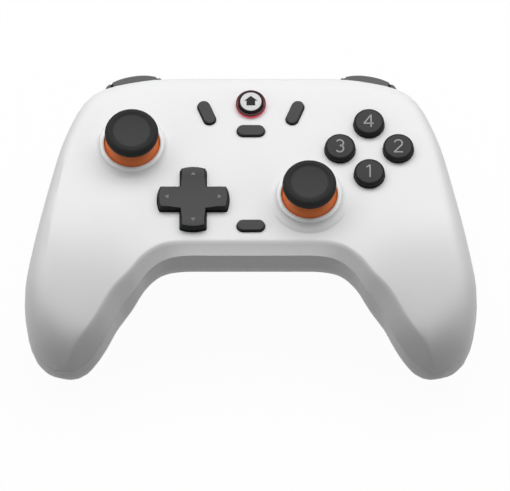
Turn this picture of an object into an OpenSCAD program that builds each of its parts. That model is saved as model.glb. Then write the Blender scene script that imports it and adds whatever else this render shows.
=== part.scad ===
// Gamepad with a two-shell housing, two thumbsticks, a direction pad, face buttons,
// menu buttons, bumpers and triggers, and the board, battery and motors inside.
// Millimetres. X runs to the player's right, Y away from the player and Z up.
// It stands on Z = 0 on the undersides of the grips and the tips of the triggers.

/* [Housing] */
// Width across the grips
body_w = 155; // [151:1:160]
// Height of the control face above the table
face_z = 44; // [43:0.5:46]
// Height of the flat belly above the table
belly_z = 14; // [12:0.5:15]
// Back edge of the housing
back_y = 51; // [50:0.5:52]
// Front edge between the grips
front_y = -20.5; // [-22:0.1:-19.4]
// Ends of the grips
tip_y = -52; // [-57:0.5:-52]
// Thickness of the shell walls
wall = 2.2; // [1.8:0.1:2.4]
// Gap along the seam between the shells
seam_gap = 0.15; // [0.1:0.05:0.3]
// Width of the chamfer along the front edge
chamfer_w = 4; // [3:0.1:5]
// Fall of the grips' tops to their ends
face_fall = 16; // [13:0.5:18]
// Half width of the flat belly
belly_half = 30; // [26:1:32]
// Radius of the grips' undersides, seen from the side
sole_r = 230; // [200:5:260]

/* [Sticks] */
// Left stick, left of the middle
left_stick_x = 40.8; // [39:0.1:42]
// Left stick, from the datum line
left_stick_y = 20.8; // [19:0.1:22]
// Right stick, right of the middle
right_stick_x = 20; // [18:0.1:21]
// Right stick, from the datum line
right_stick_y = 0.4; // [-1:0.1:1]
// Depth of the tilt centre under the face
pivot_depth = 9; // [8.8:0.1:9.2]
// Radius of the rubber cap
cap_r = 9.2; // [8:0.1:9.4]
// Height of the rubber cap
cap_h = 4; // [3.4:0.1:5]
// Underside of the cap above the face
cap_rise = 6.8; // [6.5:0.1:8]
// Outer radius of the dome under the cap
dome_r = 13.9; // [13.3:0.1:14]
// Wall of the dome
dome_wall = 1.2; // [0.8:0.1:1.3]
// Radius of the dome's neck
neck_r = 3.4; // [3:0.1:4]
// Outer radius of the glide ring
ring_r = 11.2; // [11:0.1:11.5]
// Height of the glide ring above the face
ring_rise = 2.3; // [2:0.1:2.5]
// Foot radius of the raised collar
collar_r = 14.2; // [13.9:0.1:15.2]
// Width of the stick module
module_w = 14.5; // [14:0.1:15]
// Radius of the stick shaft
shaft_r = 1.8; // [1.5:0.1:2]
// Radius of the gimbal's axles
axle_r = 0.9; // [0.7:0.05:1]

/* [Direction pad] */
// Middle of the pad, left of the middle
dpad_x = 19.7; // [18.5:0.1:20.5]
// Middle of the pad, from the datum line
dpad_y = -0.7; // [-1.5:0.1:0.5]
// Length across the arms
dpad_l = 24.2; // [22:0.1:25]
// Width of an arm
dpad_w = 8.6; // [7.5:0.1:9.5]
// Height above the face
dpad_rise = 2.5; // [1.5:0.1:3.5]
// Radius of the pivot ball
ball_r = 1.6; // [1.3:0.1:1.8]

/* [Face buttons] */
// Middle of the diamond, right of the middle
face_x = 40.6; // [40:0.1:41.5]
// Middle of the diamond, from the datum line
face_y = 19.2; // [19:0.1:21]
// From the middle of the diamond to each button
face_pitch = 10; // [9.5:0.1:10.4]
// Radius of a button
button_r = 5.25; // [4.6:0.05:5.4]
// Height of a button above the face
button_rise = 2.6; // [2:0.1:3.5]

/* [Small buttons] */
// Home button, from the datum line
home_y = 37.2; // [36.8:0.1:38]
// Radius of the home button
home_r = 4.4; // [4:0.1:4.8]
// Radial width of the light ring
light_w = 0.4; // [0.3:0.1:0.8]
// Height of the home button above the face
home_rise = 2.4; // [1.6:0.1:2.8]
// Height of the light ring above the face
light_rise = 1.6; // [0.6:0.1:1.8]
// Slanted buttons, from the middle
slant_x = 15.2; // [14.5:0.1:16]
// Slanted buttons, from the datum line
slant_y = 33.8; // [33:0.1:34.5]
// Lean of the slanted buttons
slant_angle = 22; // [15:1:30]
// Middle button, from the datum line
middle_y = 26.6; // [26:0.1:27.5]
// Mode button, from the datum line
mode_y = -10.8; // [-11.5:0.1:-9]
// Length of a small button
pill_l = 9.6; // [8.5:0.1:10.4]
// Width of a small button
pill_w = 4.3; // [3.8:0.1:4.8]
// Height of a small button above the face
pill_rise = 1.1; // [0.8:0.1:1.6]

/* [Bumpers and triggers] */
// Pivot pin of the bumper, from the middle
bumper_pin_x = 25.5; // [24.5:0.1:26]
// Pivot pin of the bumper, from the datum line
bumper_pin_y = 43.5; // [43:0.1:43.8]
// Top of the bumper below the face
bumper_drop = 7; // [6.6:0.1:7.4]
// Height of the bumper
bumper_h = 10; // [9:0.1:10.2]
// How far the bumper stands out of the back edge
bumper_proud = 3.8; // [3:0.1:4.2]
// Hinge of the trigger, from the middle
trigger_x = 41; // [40.5:0.1:41.5]
// Hinge of the trigger, from the datum line
trigger_y = 33; // [32.5:0.1:33.5]
// Hinge of the trigger above the table
trigger_z = 22; // [21.8:0.1:22.2]
// Width of the trigger
trigger_w = 22; // [20:0.2:22.4]
// Turn of the trigger towards its corner
trigger_yaw = 15; // [12:1:17]
// Wall of the trigger
trigger_wall = 2; // [1.6:0.1:2.4]
// Radius of the hinge pin
pin_r = 1; // [0.8:0.05:1.1]
// Radius of the spring wire
wire_r = 0.3; // [0.25:0.05:0.35]

/* [Inside] */
// Top of the board below the face
board_drop = 14.5; // [14.4:0.1:14.8]
// Thickness of the board
board_t = 1.6; // [1.2:0.1:1.8]
// Length of the battery
battery_l = 34; // [28:1:35]
// Width of the battery
battery_w = 26; // [20:1:28]
// Thickness of the battery
battery_t = 7; // [5:0.5:7.5]
// Radius of a motor can
motor_r = 6; // [5:0.1:6.4]
// Length of a motor can
motor_l = 15; // [12:0.5:17]
// Motor axis, in from the side of the grip
motor_inset = 18.5; // [18:0.5:20]
// Front face of the motor can
motor_y = -22; // [-23:0.5:-20]
// Motor axis above the table
motor_z = 17; // [16:0.5:18]
// Radius of the motor weight
weight_r = 8; // [6:0.1:8.4]
// Radius of a screw shank
screw_r = 1.1; // [0.9:0.05:1.2]
// Radius of a screw post
post_r = 3.2; // [2.9:0.1:3.4]

/* [Clearances] */
// Gap round a button in its hole
button_gap = 0.2; // [0.15:0.05:0.3]
// Gap round the direction pad
dpad_gap = 0.4; // [0.35:0.05:0.6]
// Running gap of a pin in its bore
run_gap = 0.05; // [0.03:0.01:0.08]
// Gap under a seated piece
seat_gap = 0.05; // [0.03:0.01:0.08]
// Gap round the bumpers and the triggers
shoulder_gap = 0.5; // [0.4:0.05:0.7]

/* [Hidden] */
$fn = 64;
half_w = body_w / 2;
pivot_z = face_z - pivot_depth;
under_z = face_z - wall;
board_z = face_z - board_drop;
flange_gap = 0.2;
flange_t = 1.2;
shell_power = 2.5;
rear_power = 2.5;
sole_low_y = -38;
fall_start = -10;
grip_half = belly_half + 22;
motor_x = half_w - motor_inset;
bumper_top = face_z - bumper_drop;
ears_t = 2.4;
home_hole_r = home_r + 2 * button_gap + light_w;

// Half of the seam between the shells, from the middle of the back edge, round the grip,
// to the middle of the front edge. The back and the grip are shares of the half width and
// of the depth; each third number is the drop below the face.
outer_shape = [[0, 1, 10], [0.26, 1, 10], [0.49, 0.99, 10], [0.708, 0.938, 11],
    [0.824, 0.79, 13], [0.899, 0.6, 16], [0.968, 0.38, 20], [1, 0.22, 24],
    [0.955, 0.07, 28]];
tip_shape = [[0.83, 0, 29]];
// The front edge is shares of the half width and of the length of the grip.
inner_shape = [[0.72, 0.92, 26], [0.64, 0.74, 19], [0.57, 0.47, 13.3], [0.505, 0.3, 9.8],
    [0.455, 0.15, 7], [0.385, 0.035, 5.2], [0.3, 0, 4], [0.15, 0, 3.8], [0, 0, 3.8]];
seam_points = concat(
    [for (p = outer_shape) [p[0] * half_w, mix(tip_y, back_y, p[1]), face_z - p[2]]],
    [for (p = tip_shape) [p[0] * half_w, tip_y, face_z - p[2]]],
    [for (p = inner_shape) [p[0] * half_w, mix(front_y, tip_y, p[1]), face_z - p[2]]]);
stations = len(outer_shape);
seam_end = 2 * stations;
// Widths of the rounded edges at each station, from the middle of the body to the tip.
front_roll = [7.5, 7.5, 7.5, 8, 8.5, 9.5, 11, 12, 12, 8];
rear_roll = [14, 14, 14, 15, 16, 18, 20, 19, 15, 9];
inner_roll = [21.5, 21.5, 21, 19, 16, 13, 12.5, 13, 12, 8];
chamfers = [1, 1, 1, 1, 1, 1, 1.05, 1.1, 1.05, 0.9];

function mix(a, b, f) = a + (b - a) * f;
function ease(a, b, v) = let (f = min(1, max(0, (v - a) / (b - a)))) f * f * (3 - 2 * f);
// A ramp that leaves zero in a short curve
function ramp(v, k) = v >= k ? v : v <= -k ? 0 : (v + k) * (v + k) / (4 * k);
function flip_x(p) = [-p[0], p[1], p[2]];
// A value from a list of stations
function at(list, t) = let (i = min(len(list) - 2, floor(t))) mix(list[i], list[i + 1], t - i);
// A point on the seam, on a curve through its points
function seam(k) =
    let (i = max(0, min(seam_end - 1, floor(k))), f = k - i,
        b = seam_points[i], c = seam_points[i + 1],
        a = i > 0 ? seam_points[i - 1] : flip_x(c),
        d = i < seam_end - 1 ? seam_points[i + 2] : flip_x(b))
    b + 0.5 * f * ((c - a) + f * ((2 * a - 5 * b + 4 * c - d) + f * (3 * b - a - 3 * c + d)));
function seam_normal(k) =
    let (t = seam(min(seam_end, k + 0.05)) - seam(max(0, k - 0.05)))
    [t[1], -t[0], 0] / norm([t[0], t[1]]);
function seam_in(k, inset) = seam(k) + inset * seam_normal(k);

// Top of the face and underside of the body, before their edges are rounded
function face_height(p) =
    face_z - face_fall * pow(max(0, (fall_start - p[1]) / (fall_start - tip_y)), 1.6);
function sole_height(p) =
    mix(belly_z, pow(p[1] - sole_low_y, 2) / (2 * sole_r),
        ease(belly_half, grip_half, abs(p[0])));
// Each stop is the distance from the front edge and the share of the drop at either edge
function roll_stops(l, r, power, step) = [for (a = [0:step:90])
    [l - r * (1 - pow(sin(a), 2 / power)), 0, 1 - pow(cos(a), 2 / power)]];
edge_share = 0.2;
edge_cuts = [0, 0.5, 1 - edge_share, 1, 1 + edge_share];
function front_stops(l, c, r, cuts, step) = concat(
    [for (f = cuts) [f * c, ramp(1 - f, edge_share), 0]],
    [for (f = [1, 2]) [mix((1 + edge_share) * c, l - r, f / 3), 0, 0]],
    roll_stops(l, r, shell_power, step));
function rear_stops(l, c, r, step) = concat(
    [for (a = [90:-step:0]) [c * (1 - pow(sin(a), 2 / rear_power)), 1 - pow(cos(a), 2 / rear_power), 0]],
    [for (f = [1, 2]) [mix(c, l - r, f / 3), 0, 0]],
    roll_stops(l, r, rear_power, step));
// Height of a section, less towards the end of the grip
function swell(l) = sin(90 * min(1, l / 30));
function lift(i, o, l, q, base, h) =
    let (p = mix(i, o, q[0] / l), z = base - q[1] * (base - i[2]) - q[2] * (base - o[2]))
    [p[0], p[1], p[2] + (z - p[2]) * h];
function front_section(t, inset, cuts, step) =
    let (i = seam_in(seam_end - t, inset), o = seam_in(t, inset), l = norm([o[0] - i[0], o[1] - i[1]]),
        h = swell(norm(seam(t) - seam(seam_end - t))),
        c = min(chamfer_w * at(chamfers, t), 0.2 * l), r = min(at(front_roll, t), 0.66 * l))
    [for (q = front_stops(l, c, r, cuts, step))
        lift(i, o, l, q, face_height(mix(i, o, q[0] / l)) - inset, h)];
function rear_section(t, inset, step, gap) =
    let (i = seam_in(seam_end - t, inset) - [0, 0, gap], o = seam_in(t, inset) - [0, 0, gap],
        l = norm([o[0] - i[0], o[1] - i[1]]), h = swell(norm(seam(t) - seam(seam_end - t))),
        c = min(at(inner_roll, t), 0.4 * l), r = min(at(rear_roll, t), 0.5 * l))
    [for (q = rear_stops(l, c, r, step))
        lift(i, o, l, q, sole_height(mix(i, o, q[0] / l)) + inset, h)];
function half_sections(list) = concat(
    [for (n = [len(list) - 1:-1:1]) [for (p = list[n]) flip_x(p)]], list);
function stops_along(per) = [for (n = [0:per * stations - 1]) n / per];
function strips(first, rows, cols, flip) = [for (r = [0:rows - 2]) for (c = [0:cols - 2])
    let (a = first + r * cols + c, b = a + cols)
    each flip ? [[a, a + 1, b + 1], [a, b + 1, b]] : [[a, b + 1, a + 1], [a, b, b + 1]]];
function rims(first, second, rows, a_cols, b_cols, flip) = [for (r = [0:rows - 2])
    let (a = first + r * a_cols, b = second + r * b_cols)
    each flip ? [[a, b, b + b_cols], [a, b + b_cols, a + a_cols]]
        : [[a, b + b_cols, b], [a, a + a_cols, b + b_cols]]];
function span(a, b) = a <= b ? [for (n = [a:b]) n] : [for (n = [a:-1:b]) n];

// A shell between an outer and an inner set of sections, with a rim along the seam
module shell_between(outer, inner, flip) {
    rows = len(outer);
    m = len(outer[0]);
    n = len(inner[0]);
    start = rows * m;
    last = (rows - 1) * m;
    last_in = start + (rows - 1) * n;
    ends = [span(0, m - 1), span(last + m - 1, last), span(start + n - 1, start),
        span(last_in, last_in + n - 1), [0, m - 1, start + n - 1, start],
        [last + m - 1, last, last_in, last_in + n - 1]];
    faces = concat(strips(0, rows, m, false), strips(start, rows, n, true),
        rims(0, start, rows, m, n, true), rims(m - 1, start + n - 1, rows, m, n, false), ends);
    polyhedron([for (s = outer) each s, for (s = inner) each s],
        flip ? [for (f = faces) [for (k = [len(f) - 1:-1:0]) f[k]]] : faces);
}

// A closed solid through rings of points, its ends flat or drawn from the points of a hub
module loft(rings, hub = []) {
    m = len(rings[0]);
    rows = len(rings);
    sides = [for (r = [0:rows - 2]) for (c = [0:m - 1])
        let (a = r * m + c, b = r * m + (c + 1) % m)
        each [[a, b, b + m], [a, b + m, a + m]]];
    last = (rows - 1) * m;
    flat = [span(m - 1, 0), span(last, last + m - 1)];
    fans = [for (c = [0:m - 1]) let (d = (c + 1) % m)
        each [[d, c, rows * m], [last + c, last + d, rows * m + 1]]];
    polyhedron([for (s = rings) each s, each hub], concat(sides, len(hub) > 0 ? fans : flat));
}

// The inside of the walls, used to trim what stands on them
module body_core() {
    fronts = half_sections([for (t = stops_along(2)) front_section(t, wall / 2, [0, 1, 1 + edge_share], 30)]);
    rears = half_sections([for (t = stops_along(2)) rear_section(t, wall / 2, 30, 0)]);
    loft([for (n = [0:len(fronts) - 1]) concat(fronts[n],
        [for (k = [len(rears[n]) - 2:-1:1]) rears[n][k]])]);
}

module front_skin() {
    steps = stops_along(4);
    shell_between(half_sections([for (t = steps) front_section(t, 0, edge_cuts, 15)]),
        half_sections([for (t = steps) front_section(t, wall, [0, 1, 1 + edge_share], 30)]), true);
}

module rear_skin() {
    steps = stops_along(4);
    shell_between(half_sections([for (t = steps) rear_section(t, 0, 15, seam_gap)]),
        half_sections([for (t = steps) rear_section(t, wall, 30, seam_gap)]), false);
}

module at_left_stick() { translate([-left_stick_x, left_stick_y, 0]) children(); }
module at_right_stick() { translate([right_stick_x, right_stick_y, 0]) children(); }
module at_both_sticks() {
    at_left_stick() children();
    at_right_stick() children();
}
module at_dpad() { translate([-dpad_x, dpad_y, 0]) children(); }
module at_face_button(angle) {
    translate([face_x + face_pitch * cos(angle), face_y + face_pitch * sin(angle), 0]) children();
}
module at_face_buttons() { for (a = [0:90:270]) at_face_button(a) children(); }
module at_home() { translate([0, home_y, 0]) children(); }
module at_left_menu() {
    translate([-slant_x, slant_y, 0]) rotate([0, 0, 90 + slant_angle]) children();
}
module at_right_menu() { mirror([1, 0, 0]) at_left_menu() children(); }
module at_middle() { translate([0, middle_y, 0]) children(); }
module at_mode() { translate([0, mode_y, 0]) children(); }
module at_small_buttons() {
    at_left_menu() children();
    at_right_menu() children();
    at_middle() children();
    at_mode() children();
}
module both_sides() {
    children();
    mirror([1, 0, 0]) children();
}
// The trigger's own axes: X along its pin, Y out of the housing
module at_trigger() {
    translate([trigger_x, trigger_y, trigger_z]) rotate([0, 0, -trigger_yaw]) children();
}
module along_x(l, r) { rotate([0, 90, 0]) cylinder(h = l, r = r, center = true); }
module along_y(l, r) { rotate([-90, 0, 0]) cylinder(h = l, r = r); }
module pill_shape(l, w) {
    square([l - w, w], center = true);
    for (x = [-1, 1]) translate([x * (l - w) / 2, 0]) circle(w / 2);
}
module round_shape(l, w, r) {
    square([l - 2 * r, w], center = true);
    square([l, w - 2 * r], center = true);
    for (x = [-1, 1], y = [-1, 1]) translate([x * (l / 2 - r), y * (w / 2 - r)]) circle(r);
}
// A bar with a soft top edge
module soft_bar(l, w, r, h, edge) {
    hull() for (a = [0:30:90]) let (in = edge * (1 - cos(a)))
        linear_extrude(h - edge + edge * sin(a))
            round_shape(l - 2 * in, w - 2 * in, max(0.2, r - in), $fn = 32);
}

collar_wall = 0.6;
collar_top = ring_rise - 0.6;
bore_r = dome_r - 1.3;
// The collar leaves the face in a hollow quarter round and holds the ring at its top
module stick_collar() {
    sweep = collar_r - ring_r - collar_wall;
    translate([0, 0, face_z]) rotate_extrude() polygon(concat([[0, -wall / 2], [collar_r, -wall / 2]],
        [for (a = [80:-10:10]) [collar_r - sweep * cos(a), collar_top * (1 - sin(a))]],
        [[ring_r + collar_wall - 0.15, collar_top], [0, collar_top]]));
}
// The bore widens downwards to clear the dome and leaves a ledge for the ring
module stick_bore() {
    translate([0, 0, face_z - wall - 1]) cylinder(h = 1.01, r = bore_r);
    translate([0, 0, face_z - wall]) cylinder(h = wall + 0.01, r1 = bore_r, r2 = ring_r - 0.1);
    translate([0, 0, face_z]) cylinder(h = ring_rise, r = ring_r + seat_gap);
}

board_spots = [[35, -12], [22.5, 27.5]];
grip_spot = [0.8 * half_w, -41];
grip_joint_z = 20;
head_r = 2.3;
head_h = 1.8;
screw_bite = 5;
board_seat_z = belly_z + 5;
grip_seat_z = 10;
sleeve_h = 0.8;
home_sleeve_h = 1.4;
module front_inside() {
    both_sides() {
        for (p = board_spots) translate(concat(p, board_z + seat_gap)) cylinder(h = 20, r = post_r);
        for (p = board_spots) translate(concat(p, board_z - board_t + 0.3)) cylinder(h = 5, r = post_r - 1);
        translate(concat(grip_spot, grip_joint_z + seat_gap)) cylinder(h = 30, r = post_r);
        translate([bumper_pin_x, bumper_pin_y, board_z + 1]) cylinder(h = 20, r = pin_r + 0.5);
    }
    at_face_buttons() translate([0, 0, under_z - sleeve_h]) cylinder(h = 5, r = button_r + 1.5);
    at_home() translate([0, 0, under_z - home_sleeve_h]) cylinder(h = 5, r = home_hole_r + 1.5);
}

module front_holes() {
    at_both_sticks() stick_bore();
    at_dpad() translate([0, 0, face_z - 4]) linear_extrude(8)
        for (a = [0, 90]) rotate(a) dpad_arm(dpad_gap);
    at_face_buttons() translate([0, 0, face_z - 5]) cylinder(h = 9, r = button_r + button_gap);
    at_home() translate([0, 0, face_z - 6]) cylinder(h = 9, r = home_hole_r);
    at_small_buttons() translate([0, 0, face_z - 4]) linear_extrude(8)
        pill_shape(pill_l + 2 * button_gap, pill_w + 2 * button_gap);
    both_sides() {
        bumper_slot();
        for (p = board_spots) translate(concat(p, board_z - 5)) cylinder(h = 12, r = screw_r + seat_gap);
        translate(concat(grip_spot, 10)) cylinder(h = 18, r = screw_r + seat_gap);
    }
}

module front_shell() {
    color("white") difference() {
        union() {
            front_skin();
            at_both_sticks() stick_collar();
            intersection() {
                front_inside();
                body_core();
            }
        }
        front_holes();
    }
}

usb_w = 8.94;
usb_h = 3.26;
usb_l = 7.3;
usb_mouth_y = back_y - 0.6;
usb_z = board_z + seat_gap + usb_h / 2;
tower_r = head_r + 1.6;
ear_x = trigger_w / 2 + shoulder_gap;
cradle_gap = 0.06;
module rear_inside() {
    both_sides() {
        for (p = board_spots) translate(p) cylinder(h = board_z - board_t - seat_gap, r = tower_r);
        translate(grip_spot) cylinder(h = grip_joint_z - seat_gap, r = tower_r);
        at_trigger() for (x = [-ear_x - ears_t, ear_x])
            translate([x, -4.5, -20]) cube([ears_t, 9, 20 + pin_r + 2.2]);
        for (y = [motor_y + 2, motor_y + motor_l - 4])
            translate([motor_x - motor_r - 2, y, 0]) cube([2 * motor_r + 4, 2, motor_z]);
        translate([battery_l / 2 + 0.4, battery_y - 9, belly_z]) cube([1.5, 12, wall + 4]);
    }
}

module rear_holes() {
    both_sides() {
        for (p = board_spots) {
            translate(concat(p, -1)) cylinder(h = board_seat_z + 1, r = head_r + 0.3);
            translate(p) cylinder(h = face_z, r = screw_r + 0.15);
        }
        translate(concat(grip_spot, -2)) cylinder(h = grip_seat_z + 2, r = head_r + 0.3);
        translate(grip_spot) cylinder(h = face_z / 2, r = screw_r + 0.15);
        at_trigger() along_x(2 * (ear_x + ears_t + shoulder_gap), pin_r + seat_gap);
        translate([motor_x, motor_y - 1, motor_z]) along_y(motor_l + 2, motor_r + cradle_gap);
        bumper_slot();
    }
    translate([0, back_y - 5, usb_z]) rotate([-90, 0, 0]) linear_extrude(10)
        pill_shape(usb_w + 0.8, usb_h + 0.8);
}

// The corner that the trigger fills and swings through
module trigger_bay() {
    at_trigger() translate([-ear_x, -pin_r - shoulder_gap, -trigger_z - 2])
        cube([2 * ear_x, back_y, bumper_top - bumper_h + 2]);
}

module rear_shell() {
    color("whitesmoke") difference() {
        union() {
            difference() {
                rear_skin();
                both_sides() trigger_bay();
            }
            intersection() {
                rear_inside();
                body_core();
            }
        }
        rear_holes();
    }
}

module screw(seat_z, l) {
    translate([0, 0, seat_z - head_h - seat_gap]) cylinder(h = head_h, r = head_r);
    translate([0, 0, seat_z - head_h / 2]) cylinder(h = l + head_h / 2, r = screw_r);
}
module cross_slot(seat_z) {
    for (a = [0, 90]) translate([0, 0, seat_z - head_h - 1]) rotate(a)
        translate([-1.4, -0.3, 0]) cube([2.8, 0.6, 1.9]);
}
module shell_screws() {
    color("silver") both_sides() {
        for (p = board_spots) translate(p) difference() {
            screw(board_seat_z, board_z - board_seat_z + screw_bite);
            cross_slot(board_seat_z);
        }
        translate(grip_spot) difference() {
            screw(grip_seat_z, grip_joint_z - grip_seat_z + screw_bite);
            cross_slot(grip_seat_z);
        }
    }
}

module stick_ring() {
    color("white") translate([0, 0, face_z]) rotate_extrude() polygon([[ring_r - 0.3, seat_gap],
        [ring_r, seat_gap], [ring_r, ring_rise - 0.55], [ring_r - 0.15, ring_rise - 0.2],
        [ring_r - 0.6, ring_rise], [ring_r - 1.1, ring_rise], [ring_r - 1.55, ring_rise - 0.2],
        [ring_r - 1.75, ring_rise - 0.6], [ring_r - 1.35, ring_rise - 0.95]]);
}
module left_stick_ring() { at_left_stick() stick_ring(); }
module right_stick_ring() { at_right_stick() stick_ring(); }

peg_h = 1.6;
module stick_cap() {
    color("#202022") translate([0, 0, face_z + cap_rise]) difference() {
        rotate_extrude() polygon([[0, 0], [cap_r - 0.9, 0], [cap_r - 0.3, 0.35], [cap_r - 0.05, 0.9],
            [cap_r, cap_h * 0.45], [cap_r - 0.12, cap_h * 0.65], [cap_r - 0.5, cap_h * 0.87],
            [cap_r - 1.05, cap_h - 0.06], [cap_r - 1.5, cap_h], [cap_r - 1.95, cap_h - 0.1],
            [cap_r - 2.6, cap_h - 0.55], [cap_r - 3.3, cap_h - 0.85], [cap_r - 4.4, cap_h - 1.05],
            [0, cap_h - 1.25]]);
        translate([0, 0, -1]) cylinder(h = 1 + peg_h + 0.1, r = neck_r - 1 + seat_gap);
    }
}
module left_stick_cap() { at_left_stick() stick_cap(); }
module right_stick_cap() { at_right_stick() stick_cap(); }

shaft_top = pivot_depth + cap_rise - 1.8;
click_room = 0.8;
module stick_dome() {
    color("#c4622a") translate([0, 0, pivot_z]) difference() {
        union() {
            intersection() {
                difference() {
                    sphere(dome_r);
                    sphere(dome_r - dome_wall);
                }
                translate([0, 0, dome_r * cos(80)]) cylinder(h = 2 * dome_r, r = 2 * dome_r);
            }
            translate([0, 0, 5]) cylinder(h = dome_r - 5.3, r = shaft_r + 1.2);
            translate([0, 0, dome_r - 0.6])
                cylinder(h = pivot_depth + cap_rise - seat_gap - dome_r + 0.6, r = neck_r);
            translate([0, 0, dome_r]) cylinder(h = pivot_depth + cap_rise + peg_h - dome_r, r = neck_r - 1);
        }
        translate([0, 0, 3]) cylinder(h = shaft_top + click_room - 3, r = shaft_r + run_gap);
    }
}
module left_stick_dome() { at_left_stick() stick_dome(); }
module right_stick_dome() { at_right_stick() stick_dome(); }

gimbal_half = 4.4;
gimbal_hole = 3.1;
gimbal_t = 2.8;
module stick_shaft() {
    color("dimgray") translate([0, 0, pivot_z]) {
        translate([0, 0, -2]) cylinder(h = 2 + shaft_top, r = shaft_r);
        translate([0, -gimbal_half + 0.2, 0]) along_y(2 * gimbal_half - 0.4, axle_r);
    }
}
module left_stick_shaft() { at_left_stick() stick_shaft(); }
module right_stick_shaft() { at_right_stick() stick_shaft(); }

module stick_gimbal() {
    color("gray") translate([0, 0, pivot_z]) difference() {
        union() {
            cube([2 * gimbal_half, 2 * gimbal_half, gimbal_t], center = true);
            along_x(module_w - 0.6, axle_r);
        }
        cube([2 * gimbal_hole, 2 * gimbal_hole, 10], center = true);
        translate([0, -10, 0]) along_y(20, axle_r + run_gap);
    }
}
module left_stick_gimbal() { at_left_stick() stick_gimbal(); }
module right_stick_gimbal() { at_right_stick() stick_gimbal(); }

module_wall = 1.2;
sensor_t = 2;
module stick_module() {
    base_z = board_z + seat_gap;
    top_z = pivot_z + 3;
    color("#3a6f4d") difference() {
        union() {
            translate([-module_w / 2, -module_w / 2, base_z]) cube([module_w, module_w, top_z - base_z]);
            translate([module_w / 2 - 0.1, -4, base_z]) cube([sensor_t + 0.1, 8, top_z - base_z - 1]);
            translate([-4, module_w / 2 - 0.1, base_z]) cube([8, sensor_t + 0.1, top_z - base_z - 1]);
            translate([-3, -module_w / 2 - sensor_t, base_z]) cube([6, sensor_t + 0.1, 4]);
        }
        translate([-module_w / 2 + module_wall, -module_w / 2 + module_wall, base_z + 1])
            cube([module_w - 2 * module_wall, module_w - 2 * module_wall, 20]);
        translate([0, 0, pivot_z]) along_x(module_w - 0.4, axle_r + run_gap);
    }
}
module left_stick_module() { at_left_stick() stick_module(); }
module right_stick_module() { at_right_stick() stick_module(); }

ball_z = face_z - 3;
dpad_flange_r = 0.55 * dpad_l;
dpad_flange_z = under_z - 3.2;
pad_t = 0.8;
pad_dome_h = 4;
dpad_reach = 0.34 * dpad_l;
dpad_h = face_z + dpad_rise - dpad_flange_z;
dpad_corner = 1.2;
dpad_edge = 1;
// Two arms end to end, their ends on the pad's own circle
module dpad_arm(grow) {
    intersection() {
        round_shape(dpad_l + 2 * grow, dpad_w + 2 * grow, max(0.2, dpad_corner + grow), $fn = 24);
        circle(dpad_l / 2 + grow, $fn = 96);
    }
}
module dpad() {
    color("#3a393b") at_dpad() difference() {
        union() {
            translate([0, 0, dpad_flange_z]) for (a = [0, 90]) rotate(a)
                hull() for (b = [0:30:90])
                    linear_extrude(dpad_h - dpad_edge * (1 - sin(b))) dpad_arm(dpad_edge * (cos(b) - 1));
            translate([0, 0, dpad_flange_z]) cylinder(h = flange_t, r = dpad_flange_r);
            for (a = [0:90:270]) rotate(a) translate([dpad_reach, 0, board_z + pad_dome_h + 0.2])
                cylinder(h = dpad_flange_z - board_z - pad_dome_h, r = 2);
        }
        translate([0, 0, ball_z]) sphere(ball_r + run_gap);
        translate([0, 0, dpad_flange_z - 1]) cylinder(h = ball_z - dpad_flange_z + 1, r = 4.2);
        translate([0, 0, face_z + dpad_rise + 59.2]) sphere(60);
    }
}
module dpad_ball() { color("silver") at_dpad() translate([0, 0, ball_z]) sphere(ball_r); }
module dpad_post() {
    color("dimgray") at_dpad() difference() {
        translate([0, 0, board_z + seat_gap]) cylinder(h = ball_z - board_z - 0.6, r = 2.5);
        translate([0, 0, ball_z]) sphere(ball_r + run_gap);
    }
}
module rubber_dome() {
    cylinder(h = pad_dome_h - 1.2, r1 = 3.8, r2 = 2.6);
    cylinder(h = pad_dome_h, r = 2);
}
module dpad_pad() {
    color("#8a8a88") at_dpad() translate([0, 0, board_z + seat_gap]) difference() {
        union() {
            cylinder(h = pad_t, r = dpad_reach + 4.4);
            for (a = [0:90:270]) rotate(a) translate([dpad_reach, 0, 0]) rubber_dome();
        }
        translate([0, 0, -1]) cylinder(h = 4, r = 3);
    }
}

button_flange_z = under_z - sleeve_h - flange_gap - flange_t;
module face_button(angle) {
    color("#2b2b2d") at_face_button(angle) {
        translate([0, 0, face_z]) rotate_extrude() polygon([[0, button_flange_z - face_z],
            [button_r + 0.9, button_flange_z - face_z],
            [button_r + 0.9, button_flange_z + flange_t - face_z],
            [button_r, button_flange_z + flange_t - face_z], [button_r, button_rise - 1.1],
            [button_r - 0.1, button_rise - 0.7], [button_r - 0.35, button_rise - 0.36],
            [button_r - 0.8, button_rise - 0.12], [button_r - 1.4, button_rise], [0, button_rise + 0.25]]);
        translate([0, 0, board_z + pad_dome_h + 0.2])
            cylinder(h = button_flange_z - board_z - pad_dome_h, r = 3);
    }
}
module button_south() { face_button(270); }
module button_east() { face_button(0); }
module button_west() { face_button(180); }
module button_north() { face_button(90); }
module button_pad() {
    color("#8a8a88") translate([0, 0, board_z + seat_gap]) {
        translate([face_x, face_y, 0]) cylinder(h = pad_t, r = face_pitch + 4);
        at_face_buttons() rubber_dome();
    }
}

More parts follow.
